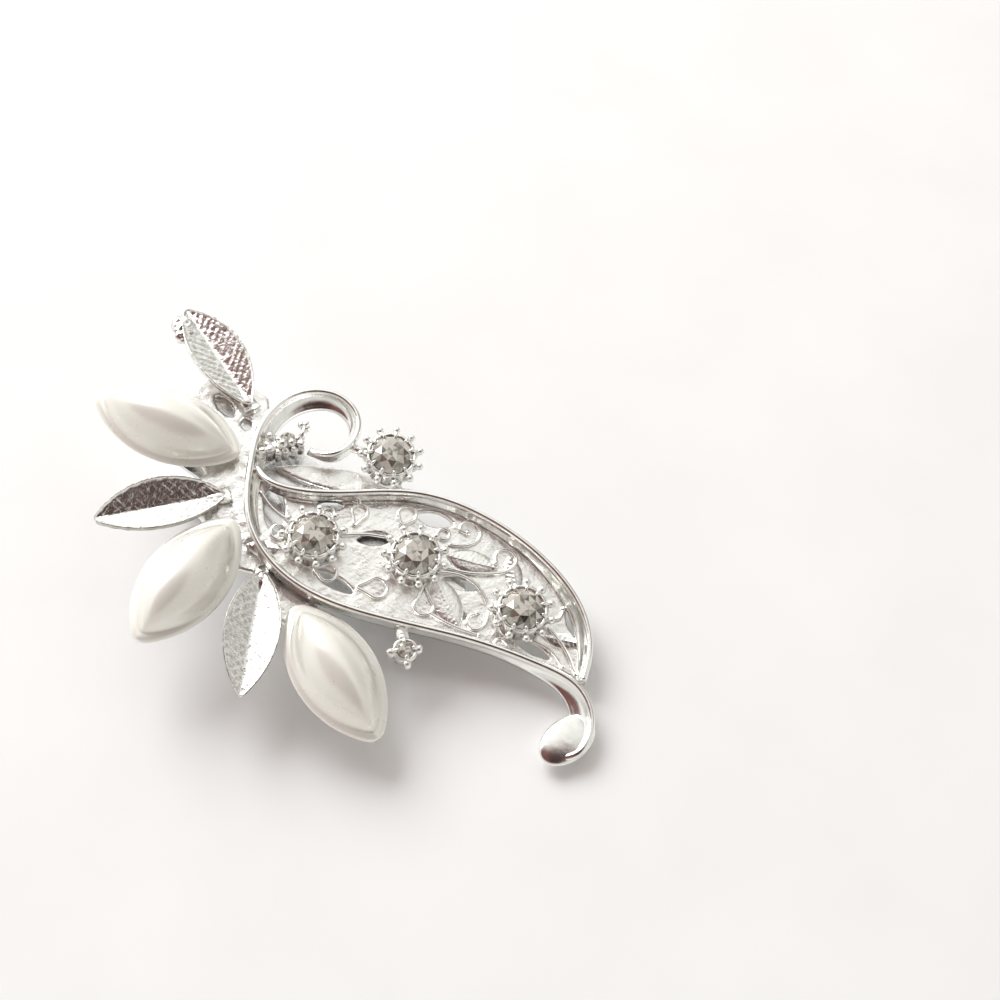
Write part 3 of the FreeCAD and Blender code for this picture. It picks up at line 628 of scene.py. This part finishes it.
def add_teardrop(bm, x, y, radius, angle, stretch):
    """Closed wire loop, round at one end and drawn to a point at the other."""
    points = []
    steps = 32
    for i in range(steps):
        turn = 2 * math.pi * i / steps
        reach = radius * (1 + (stretch - 1) * 2 * max(math.cos(turn), 0) ** 3)
        pinch = 1 - 0.5 * (stretch > 1) * max(math.cos(turn), 0) ** 2
        points.append(Vector((reach * math.cos(turn), radius * pinch * math.sin(turn), 0)))
    place = spot(x, y, angle, PLATE_TOP + WIRE)
    points = [place @ p for p in points]
    rings = []
    for i, centre in enumerate(points):
        along = (points[(i + 1) % steps] - points[i - 1]).normalized()
        across = along.cross(Vector((0, 0, 1)))
        rings.append([centre + WIRE * (math.cos(a) * across + math.sin(a) * Vector((0, 0, 1)))
                      for a in (2 * math.pi * k / 10 for k in range(10))])
    add_rings(bm, rings, closed=True)


def make_scrolls():
    """Wire loops, then wire stems with a small ball at the end of each."""
    bm = bmesh.new()
    for ring in RINGS:
        add_teardrop(bm, *ring)
    make_piece("rings", bm, POLISHED, "ornament", ["scroll_rings"])
    bm = bmesh.new()
    for stations in STEMS:
        path = spline(stations, 8)
        points = [Vector((x, y, PLATE_TOP + WIRE)) for x, y in path]
        add_tube(bm, points, [WIRE] * len(points))
        add_ball(bm, points[-1], WIRE * 1.5, 1.0, 7)
    make_piece("stems", bm, POLISHED, "ornament", ["scroll_stems"])


# ---- petals ------------------------------------------------------------------------

def almond_half(x, length, width, tip):
    """Half width of a pointed oval with blunt tips, at x from its root."""
    tip_x = length / 2 - tip
    side_radius = (tip_x ** 2 + width ** 2 / 4 - tip ** 2) / (width - 2 * tip)
    rise = side_radius - width / 2
    join_x = tip_x * side_radius / math.hypot(tip_x, rise)
    off = abs(x - length / 2)
    if off > join_x:
        return math.sqrt(max(tip ** 2 - (off - tip_x) ** 2, 0.0))
    return math.sqrt(side_radius ** 2 - off ** 2) - rise


def along_steps(length, count):
    """Stations closer together at both tips, none on the tips themselves."""
    return [length * (1 - math.cos(math.pi * (i + 0.35) / (count - 0.3))) / 2 for i in range(count)]


def pearl_mesh():
    """Pointed oval pearl: a narrow crowned dome inside a broad brim with blunt ends."""
    bm = bmesh.new()
    dome_length = PEARL_LENGTH - 2 * DOME_INSET
    rings = []
    for x in along_steps(PEARL_LENGTH, 110):
        half = almond_half(x, PEARL_LENGTH, PEARL_WIDTH, PEARL_TIP)
        inside = min(max(x - DOME_INSET, 0.0), dome_length)
        dome_half = almond_half(inside, dome_length, DOME_WIDTH, DOME_TIP)
        ring = [Vector((x, -half, 0)), Vector((x, -half, 0.25))]
        steps = 48
        for k in range(steps + 1):
            y = -half * math.cos(math.pi * k / steps)
            edge = half - abs(y)
            z = PEARL_EDGE + (PEARL_BRIM - PEARL_EDGE) * (1 - math.exp(-edge / 0.35))
            if dome_half > 0.02:
                share = max(0.0, 1 - (y / dome_half) ** 2)
                full = (dome_half / (DOME_WIDTH / 2)) ** DOME_POWER
                z += (PEARL_HEIGHT - PEARL_BRIM) * full * share ** DOME_POWER
            ring.append(Vector((x, y, z)))
        ring += [Vector((x, half, 0.25)), Vector((x, half, 0))]
        rings.append(ring)
    add_rings(bm, rings)
    for _ in range(3):
        bmesh.ops.smooth_vert(bm, verts=bm.verts, factor=0.5, use_axis_x=True, use_axis_y=True,
                              use_axis_z=True)
    bm.transform(Matrix.Translation((PEARL_START, 0, TRAY_HEIGHT)))
    return bm


def make_pearls():
    for name, (x, y, angle) in PEARLS.items():
        bm = pearl_mesh()
        bm.transform(spot(x, y, angle))
        make_piece("cabochon_" + name, bm, PEARL, "ornament", ["pearl_" + name])


def leaf_height(x, t, half):
    """Height of a leaf's upper face at x along it and t across it, from -1 to 1."""
    out = abs(t)
    y = out * half
    edge = (1 - out) * half
    fold = y * math.tan(LEAF_FOLD)
    midrib = MIDRIB[0] * math.exp(-(y / MIDRIB[1]) ** 2)
    wave = math.cos(2 * math.pi * (x - 0.9 * y) * LEAF_VEINS / LEAF_LENGTH)
    patchy = 0.5 + 0.5 * noise.noise(Vector((x * 0.7, t * 2, 3.0)))
    vein = VEIN_DEPTH * wave * patchy * min(1.0, y / 0.4) * min(1.0, edge / 0.5)
    rim = LEAF_RIM[0] * math.exp(-(edge / LEAF_RIM[1]) ** 2)
    return LEAF_THICKNESS + fold + midrib + vein + rim


def leaf_mesh(seed):
    """Folded leaf with a midrib, slanting veins and a raised rim; root at the origin."""
    bm = bmesh.new()
    columns = [-1 + 2 * k / 44 for k in range(45)]
    rings = []
    for x in along_steps(LEAF_LENGTH, 110):
        half = almond_half(x, LEAF_LENGTH, LEAF_WIDTH, LEAF_TIP)
        top = [Vector((x, t * half, leaf_height(x, t, half))) for t in columns]
        under = [Vector((x, t * half, abs(t) * half * math.tan(LEAF_FOLD) + 0.05))
                 for t in columns]
        rings.append(top + list(reversed(under)))
    add_rings(bm, rings)
    roughen(bm, 0.33, 0.035, seed)
    roughen(bm, 0.14, 0.015, seed + 9)
    stalk = [Vector((x, 0, z)) for x, z, radius in LEAF_STALK]
    add_tube(bm, stalk, [radius for x, z, radius in LEAF_STALK], 16, STALK_FLATNESS)
    return bm


def cast_lump():
    """Rough lump that the casting left beside the upper leaf's tip."""
    bm = bmesh.new()
    for x, y, radius, squash in LUMP:
        add_ball(bm, (x, y, LUMP_Z), radius, squash, 16)
    roughen(bm, 0.5, 0.22, 31)
    roughen(bm, 0.2, 0.06, 32)
    return bm


def make_leaves():
    for seed, (name, (x, y, angle)) in enumerate(LEAVES.items()):
        bm = leaf_mesh(seed + 5)
        if name == "upper":
            join(bm, cast_lump())
        bm.transform(spot(x, y, angle))
        make_piece("veined_leaf_" + name, bm, LEAF_SILVER, "ornament", ["leaf_" + name])


# ---- stones and settings -----------------------------------------------------------

def polar(radius, turn, z):
    """Point from a radius, an angle and a height."""
    return Vector((radius * math.cos(turn), radius * math.sin(turn), z))


def brilliant(radius, crown, pavilion):
    """Round brilliant; its girdle's lower edge is at Z = 0."""
    bm = bmesh.new()
    step = math.pi / 4

    def ring(count, share, turn, z):
        return [bm.verts.new(polar(share * radius, step * (i * 8 / count + turn), z))
                for i in range(count)]

    girdle = 0.1 * radius
    table = ring(8, 0.55, 0, girdle + crown)
    star = ring(8, 0.80, 0.5, girdle + 0.60 * crown)
    upper = ring(16, 1.0, 0, girdle)
    lower = ring(16, 1.0, 0, 0)
    mains = ring(8, 0.45, 0.5, -0.6 * pavilion)
    tip = bm.verts.new((0, 0, -pavilion))
    inner = ring(8, 0.27, 0.5, girdle + crown)
    middle = bm.verts.new((0, 0, girdle + crown))
    for i in range(8):
        j = (i + 1) % 8
        bm.faces.new((table[i], table[j], inner[i]))
        bm.faces.new((table[i], inner[i], inner[i - 1]))
        bm.faces.new((middle, inner[i], inner[i - 1]))
        bm.faces.new((table[i], star[i], table[j]))
        bm.faces.new((table[i], star[i - 1], upper[2 * i]))
        bm.faces.new((table[i], upper[2 * i], star[i]))
        bm.faces.new((star[i], upper[2 * i], upper[2 * i + 1]))
        bm.faces.new((star[i], upper[2 * i + 1], upper[(2 * i + 2) % 16]))
        bm.faces.new((lower[2 * i], lower[2 * i + 1], mains[i]))
        bm.faces.new((lower[2 * i + 1], lower[(2 * i + 2) % 16], mains[i]))
        bm.faces.new((mains[i - 1], lower[2 * i], mains[i]))
        bm.faces.new((mains[i - 1], mains[i], tip))
    for i in range(16):
        j = (i + 1) % 16
        bm.faces.new((upper[i], lower[i], lower[j], upper[j]))
    return bm


def paint_facet_glints(piece, seed):
    """Gives every facet its own random brightness between 0 and 1: a painted reflection for each
    facet.
    """
    dice = random.Random(seed)
    glint_values = piece.data.attributes.new("facet_glint", "FLOAT", "FACE")
    for facet in glint_values.data:
        facet.value = dice.random()


def crown_setting(radius, pavilion, floor, reach, ball, prongs, claw):
    """Fluted cup with ball-ended prongs round it and small claws over the stone's edge."""
    bm = bmesh.new()
    seat = floor + pavilion
    top = seat + 0.1 * radius
    inner = radius + 0.02
    outer = inner + CUP_WALL
    around = prongs * 8
    profile = [
        (0.05, floor * 0.9), (0.9 * inner, seat - 0.08), (inner, seat), (inner, top),
        (inner + 0.14, top + 0.05), (outer, top - 0.06), (outer, top * 0.55),
        (outer - 0.06, top * 0.3), (outer + 0.02, 0.06), (outer - 0.08, 0), (0.05, 0),
    ]
    rings = []
    for k in range(around):
        turn = 2 * math.pi * k / around
        flute = FLUTE_DEPTH * math.cos(prongs * turn)
        rings.append([polar(r + (flute if r > inner else 0), turn, z) for r, z in profile])
    add_rings(bm, rings, closed=True)
    for i in range(prongs):
        turn = 2 * math.pi * (i + 0.5) / prongs
        level = top - ball
        shank = [polar(outer - 0.1, turn, level * 0.35), polar(outer + 0.12, turn, level * 0.7),
                 polar((outer + reach) / 2 + 0.05, turn, level * 0.95), polar(reach, turn, level)]
        add_tube(bm, shank, [ball * 0.95, ball * 0.85, ball * 0.75, ball * 0.75], 8)
        add_ball(bm, polar(reach, turn, level), ball * 1.1, 1.0, 9)
        grip = [polar(inner + 0.12, turn, top * 0.8), polar(inner + 0.12, turn, top + 0.10),
                polar(inner - 0.10, turn, top + 0.24), polar(inner - claw, turn, top + 0.26)]
        add_tube(bm, grip, [0.2, 0.19, 0.17, 0.1], 8)
    return bm


def add_neck(bm, start, finish, stops, radii):
    """Flattened neck from a cup's middle towards a band; stops are the run's three places."""
    run = (finish - start).normalized()
    first, share, last = stops
    points = [start + run * first, start.lerp(finish, share), finish + run * last]
    add_tube(bm, points, radii, 12, 0.8)


def make_settings():
    """Crown settings and their stones; the outer one also has its two necks."""
    for seed, (name, (x, y)) in enumerate(STONES.items()):
        bm = crown_setting(STONE_RADIUS, STONE_PAVILION, CUP_FLOOR, PRONG_REACH, PRONG_BALL,
                           PRONGS, CLAW_LENGTH)
        bm.transform(spot(x, y, 0, PLATE_TOP))
        if name == "outer":
            start = Vector((x, y, PLATE_TOP + NECK_LIFT))
            for end in OUTER_NECKS:
                finish = Vector((*end, PLATE_TOP + NECK_LIFT))
                add_neck(bm, start, finish, (2.1, 0.75, 0.2), [0.55, 0.42, 0.5])
        make_piece("crown_" + name, bm, CAST, "ornament", ["setting_" + name])
        bm = brilliant(STONE_RADIUS, STONE_CROWN, STONE_PAVILION)
        bm.transform(spot(x, y, STONE_TURN, PLATE_TOP + CUP_FLOOR + STONE_PAVILION))
        stone = make_piece("brilliant_" + name, bm, STONE, "ornament", ["rhinestone_" + name],
                           False)
        paint_facet_glints(stone, seed + 1)


def make_cluster():
    """Rough knot of small balls and a short stalk at the curl's root."""
    bm = bmesh.new()
    for x, y, z, radius in CLUSTER:
        add_ball(bm, (x, y, z), radius, 0.9, 9)
        foot = Vector((x, y, PLATE_TOP - 0.3))
        add_tube(bm, [foot, Vector((x, y, z))], [radius, radius * 0.8], 12)
    add_tube(bm, [Vector(p) for p in STALK], [0.36, 0.26, 0.3], 12)
    for place in STALK_BALLS:
        add_ball(bm, place, 0.33, 1.0, 8)
    base = [Vector((x, y, KNOT_BASE_Z)) for x, y, radius in KNOT_BASE]
    add_tube(bm, base, [radius for x, y, radius in KNOT_BASE], 14, 0.5)
    roughen(bm, 0.35, 0.08, 12)
    make_piece("curl_knot", bm, CAST, "ornament", ["bud_upper"])


def make_bud_cup():
    """Small four-prong cup on a neck; the upper bud's cup is the knot in the curl."""
    x, y = BUDS["lower"]
    bm = crown_setting(BUD_RADIUS, BUD_PAVILION, BUD_FLOOR, BUD_REACH, BUD_BALL, BUD_PRONGS, BUD_CLAW)
    bm.transform(spot(x, y, 0, PLATE_TOP))
    start = Vector((x, y, PLATE_TOP + BUD_NECK_LIFT))
    finish = Vector((*BUD_NECK, PLATE_TOP + BUD_NECK_LIFT))
    add_neck(bm, start, finish, (0.8, 0.7, 0), [0.62, 0.55, 0.62])
    roughen(bm, 0.4, 0.06, 21)
    make_piece("bud_cup_lower", bm, CAST, "ornament", ["bud_lower"])


def make_bud_stones():
    for name, (x, y) in BUDS.items():
        bm = brilliant(BUD_RADIUS, BUD_CROWN, BUD_PAVILION)
        bm.transform(spot(x, y, BUD_TURN, PLATE_TOP + BUD_FLOOR + BUD_PAVILION))
        stone = make_piece("bud_brilliant_" + name, bm, STONE, "ornament", ["bud_stone_" + name],
                           False)
        paint_facet_glints(stone, x)


# ---- clip --------------------------------------------------------------------------

def spring_path():
    """Middle of the spring's wire: the blade's leg, the coil, then the jaw's leg."""
    length = SPRING_TURNS * SPRING_PITCH
    per_turn = 20
    steps = SPRING_TURNS * per_turn + per_turn // 2
    start_y = CLIP_Y - length / 2
    points = [Vector((SPRING_LEG_X, start_y, BLADE_UNDERSIDE - SPRING_WIRE - 0.02))]
    for i in range(steps + 1):
        turn = 2 * math.pi * i / per_turn
        points.append(Vector((SPRING_RADIUS * math.sin(turn), start_y + length * i / steps,
                              PIN_Z + SPRING_RADIUS * math.cos(turn))))
    points.append(Vector((SPRING_LEG_X, CLIP_Y + length / 2, JAW_LEG_Z)))
    return points


def make_spring():
    """Wound spring: one end follows the blade and the other the jaw."""
    points = spring_path()
    bm = bmesh.new()
    rings = []
    for i, centre in enumerate(points):
        before = points[max(i - 1, 0)]
        after = points[min(i + 1, len(points) - 1)]
        along = (after - before).normalized()
        lift = along.cross(Vector((0, 1, 0))).normalized()
        side = lift.cross(along).normalized()
        rings.append([centre + SPRING_WIRE * (math.cos(a) * side + math.sin(a) * lift)
                      for a in (2 * math.pi * k / 10 for k in range(10))])
    add_rings(bm, rings)
    piece = new_object("spring_coil", bm, ROUND_STEEL)
    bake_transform(piece)
    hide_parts("torsion_spring")


def dress_cad_nodes():
    """Materials of the CAD nodes that stay as they are."""
    finishes = {
        "upper_blade": STEEL, "lower_jaw": STEEL, "hinge_pin": ROUND_STEEL, "brazing_pad": CAST,
    }
    for name in PEARLS:
        finishes["pearl_tray_" + name] = POLISHED
    for node, material in finishes.items():
        slots = frame["nodes"][node].data.materials
        slots.clear()
        slots.append(material)


# ---- stage -------------------------------------------------------------------------

def make_floor():
    bpy.ops.mesh.primitive_plane_add(size=2.0)
    floor = bpy.context.object
    floor.name = "floor"
    floor.data.materials.append(floor_material())


def make_world():
    """Pale room, whitest over the leaves' side, with soft dark, brown and grey patches.

    The patches stand where the leaves mirror them towards the camera, so other views show
    them in other places.
    """
    world = bpy.data.worlds.new("room")
    bpy.context.scene.world = world
    world.use_nodes = True
    tree = world.node_tree
    background = tree.nodes["Background"]
    place = tree.nodes.new("ShaderNodeTexCoord")

    def patch(direction, inner, outer):
        dot = tree.nodes.new("ShaderNodeVectorMath")
        dot.operation = "DOT_PRODUCT"
        dot.inputs[1].default_value = Vector(direction).normalized()
        tree.links.new(place.outputs["Generated"], dot.inputs[0])
        span = tree.nodes.new("ShaderNodeMapRange")
        span.interpolation_type = "SMOOTHSTEP"
        span.inputs["From Min"].default_value = math.cos(math.radians(outer))
        span.inputs["From Max"].default_value = math.cos(math.radians(inner))
        tree.links.new(dot.outputs["Value"], span.inputs["Value"])
        return span.outputs["Result"]

    def blend(amount, under, colour):
        mix = tree.nodes.new("ShaderNodeMix")
        mix.data_type = "RGBA"
        tree.links.new(amount, mix.inputs["Factor"])
        if isinstance(under, tuple):
            mix.inputs["A"].default_value = under
        else:
            tree.links.new(under, mix.inputs["A"])
        mix.inputs["B"].default_value = colour
        return mix.outputs["Result"]

    sky = ROOM
    for direction, inner, outer, colour in ROOM_PATCHES:
        sky = blend(patch(direction, inner, outer), sky, colour)
    tree.links.new(sky, background.inputs["Color"])
    background.inputs["Strength"].default_value = ROOM_STRENGTH


def make_key_light():
    """Round soft light that points at the origin."""
    data = bpy.data.lights.new("key", "AREA")
    data.shape = "DISK"
    data.size = KEY_SIZE
    data.energy = KEY_POWER
    light = bpy.data.objects.new("key", data)
    bpy.context.collection.objects.link(light)
    light.location = KEY_PLACE
    light.rotation_euler = (-Vector(KEY_PLACE)).to_track_quat("-Z", "Y").to_euler()


def make_camera():
    look = Vector((-math.sin(CAMERA_AZIMUTH) * math.cos(CAMERA_ELEVATION),
                   math.cos(CAMERA_AZIMUTH) * math.cos(CAMERA_ELEVATION),
                   -math.sin(CAMERA_ELEVATION)))
    data = bpy.data.cameras.new("camera")
    data.lens = CAMERA_LENS
    data.sensor_width = 36.0
    data.clip_start = 0.01
    camera = bpy.data.objects.new("camera", data)
    bpy.context.collection.objects.link(camera)
    camera.location = LAY @ Vector((*CAMERA_TARGET, 0)) - look * CAMERA_DISTANCE
    camera.rotation_euler = look.to_track_quat("-Z", "Y").to_euler()
    bpy.context.scene.camera = camera


make_bands()
make_cast_plates()
make_scrolls()
make_pearls()
make_leaves()
make_settings()
make_cluster()
make_bud_cup()
make_bud_stones()
make_spring()
dress_cad_nodes()
make_floor()
make_world()
make_key_light()
make_camera()
bpy.context.scene.view_settings.view_transform = "Standard"
